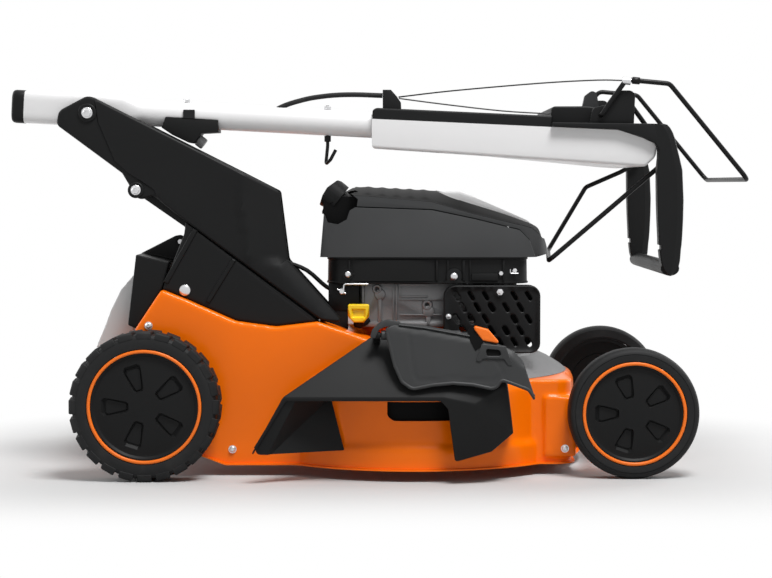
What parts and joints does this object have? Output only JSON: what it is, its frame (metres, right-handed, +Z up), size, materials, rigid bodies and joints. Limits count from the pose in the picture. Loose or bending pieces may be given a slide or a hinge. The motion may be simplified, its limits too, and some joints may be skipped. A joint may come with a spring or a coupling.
{
  "type": "walk-behind lawn mower",
  "caption": "Walk-behind petrol lawn mower with an orange steel deck, a single-tube handlebar folded forward over the engine, side discharge guard and lugged rear wheels.",
  "frame": {"origin": "on the ground, midway along and across the folded mower, side flap included", "axes": "+X towards the front wheels, +Y towards the mower's left side, +Z up"},
  "size_m": [1.2009, 0.6155, 0.6457],
  "materials": {
    "deck_paint": "glossy orange powder coat",
    "white_paint": "satin white paint",
    "white_plastic": "satin white",
    "black_plastic": "fine grained black",
    "grey_plastic": "fine grained dark grey",
    "light_plastic": "light grey",
    "orange_plastic": "orange",
    "yellow_plastic": "yellow",
    "rubber": "matte black",
    "steel": "zinc plated",
    "black_steel": "black paint",
    "aluminium": "as cast"
  },
  "bodies": {
    "chassis": {"deck_shell": "deck_paint", "console_housing": "black_plastic", "console_arm_near": "black_plastic", "console_arm_far": "black_plastic", "pivot_bolt": "steel", "stop_bolt": "steel", "rear_frame": "black_plastic", "flap_rod": "steel", "deck_ring": "aluminium", "side_guard": "grey_plastic", "engine_block": "aluminium", "blower_housing": "black_plastic", "engine_hood": "grey_plastic", "hood_inlay": "light_plastic", "fuel_tank": "black_plastic", "dipstick_tube": "black_plastic", "muffler": "steel", "muffler_guard": "black_steel", "spark_plug": "black_plastic", "engine_cable": "black_plastic"},
    "rear_flap": {"rear_flap": "light_plastic"},
    "side_flap": {"side_flap": "grey_plastic"},
    "side_flap_latch": {"side_flap_latch": "orange_plastic"},
    "fuel_cap": {"fuel_cap": "black_plastic"},
    "starter": {"starter_grip": "black_plastic"},
    "dipstick": {"dipstick": "yellow_plastic"},
    "rotor": {"crankshaft": "steel", "flywheel": "aluminium", "blade": "steel", "blade_bolt": "steel"},
    "rear_axle": {"rear_carrier": "steel"},
    "front_axle": {"front_carrier": "steel"},
    "rear_near_wheel": {"rear_near_tyre": "rubber", "rear_near_rim": "black_plastic", "rear_near_ring": "orange_plastic"},
    "rear_far_wheel": {"rear_far_tyre": "rubber", "rear_far_rim": "black_plastic", "rear_far_ring": "orange_plastic"},
    "front_near_wheel": {"front_near_tyre": "rubber", "front_near_rim": "black_plastic", "front_near_ring": "orange_plastic"},
    "front_far_wheel": {"front_far_tyre": "rubber", "front_far_rim": "black_plastic", "front_far_ring": "orange_plastic"},
    "handlebar": {"handle_tube": "white_paint", "tube_end_cap": "black_plastic", "tube_clamp": "black_plastic", "rope_hook": "black_steel", "cable_bracket": "black_plastic", "cable_hose": "rubber", "stop_wire": "black_steel", "speed_wire": "black_steel", "handle_shell": "white_plastic", "handle_cover": "black_plastic", "grip_loop": "black_plastic", "control_pod": "black_plastic"},
    "release_peg": {"release_peg": "grey_plastic"},
    "speed_lever": {"speed_lever": "grey_plastic"},
    "stop_bail": {"stop_bail": "black_steel"},
    "drive_bail": {"drive_bail": "black_steel"}
  },
  "joints": [
    {"name": "handlebar_fold", "type": "hinge", "parent": "chassis", "child": "handlebar", "pos_m": [-0.4727, 0.0177, 0.5873], "axis": [0, -1, 0], "range_deg": [0, 145]},
    {"name": "rear_height", "type": "hinge", "parent": "chassis", "child": "rear_axle", "pos_m": [-0.3043, 0.0177, 0.09], "axis": [0, -1, 0], "range_deg": [0, 47]},
    {"name": "front_height", "type": "hinge", "parent": "chassis", "child": "front_axle", "pos_m": [0.362, 0.0177, 0.0675], "axis": [0, 1, 0], "range_deg": [0, 61.3]},
    {"name": "rear_near_spin", "type": "hinge", "parent": "rear_axle", "child": "rear_near_wheel", "pos_m": [-0.373, -0.2723, 0.12], "axis": [0, 1, 0], "continuous": true},
    {"name": "rear_far_spin", "type": "hinge", "parent": "rear_axle", "child": "rear_far_wheel", "pos_m": [-0.373, 0.3077, 0.12], "axis": [0, 1, 0], "continuous": true},
    {"name": "front_near_spin", "type": "hinge", "parent": "front_axle", "child": "front_near_wheel", "pos_m": [0.408, -0.2403, 0.105], "axis": [0, 1, 0], "continuous": true},
    {"name": "front_far_spin", "type": "hinge", "parent": "front_axle", "child": "front_far_wheel", "pos_m": [0.408, 0.2757, 0.105], "axis": [0, 1, 0], "continuous": true},
    {"name": "crank_spin", "type": "hinge", "parent": "chassis", "child": "rotor", "pos_m": [0.055, 0.01775, 0.2], "axis": [0, 0, 1], "continuous": true},
    {"name": "rear_flap_hinge", "type": "hinge", "parent": "chassis", "child": "rear_flap", "pos_m": [-0.332, 0.0177, 0.377], "axis": [0, 1, 0], "range_deg": [0, 60]},
    {"name": "side_flap_hinge", "type": "hinge", "parent": "chassis", "child": "side_flap", "pos_m": [0.065, -0.27426, 0.2345], "axis": [-1, 0, 0], "range_deg": [0, 70]},
    {"name": "side_flap_latch_slide", "type": "slide", "parent": "side_flap", "child": "side_flap_latch", "axis": [0, -1, 0], "range_m": [0, 0.006], "stiffness_N_per_m": 300, "springref_m": -0.002},
    {"name": "fuel_cap_turn", "type": "hinge", "parent": "chassis", "child": "fuel_cap", "pos_m": [-0.0858, -0.11225, 0.461], "axis": [-0.775, 0, 0.632], "range_deg": [0, 90]},
    {"name": "starter_pull", "type": "slide", "parent": "chassis", "child": "starter", "axis": [0, 1, 0], "range_m": [0, 0.3], "stiffness_N_per_m": 20, "springref_m": -0.1},
    {"name": "dipstick_pull", "type": "slide", "parent": "chassis", "child": "dipstick", "axis": [0, -0.5, 0.866], "range_m": [0, 0.12]},
    {"name": "release_peg_pull", "type": "slide", "parent": "handlebar", "child": "release_peg", "axis": [0.7901, 0, -0.613], "range_m": [0, 0.01], "stiffness_N_per_m": 300, "springref_m": -0.005},
    {"name": "speed_lever_turn", "type": "hinge", "parent": "handlebar", "child": "speed_lever", "pos_m": [0.348, -0.10426, 0.586], "axis": [0, 1, 0], "range_deg": [0, 20]},
    {"name": "stop_bail_squeeze", "type": "hinge", "parent": "handlebar", "child": "stop_bail", "pos_m": [0.358, 0.0177, 0.584], "axis": [0, 1, 0], "range_deg": [0, 28], "stiffness_Nm_per_rad": 2, "springref_deg": -34.38},
    {"name": "drive_bail_squeeze", "type": "hinge", "parent": "handlebar", "child": "drive_bail", "pos_m": [0.402, 0.0177, 0.612], "axis": [0, -1, 0], "range_deg": [0, 28], "stiffness_Nm_per_rad": 2, "springref_deg": -22.92}
  ],
  "couplings": [
    {"joint": "front_height", "follows": "rear_height", "ratio": 1.303}
  ]
}
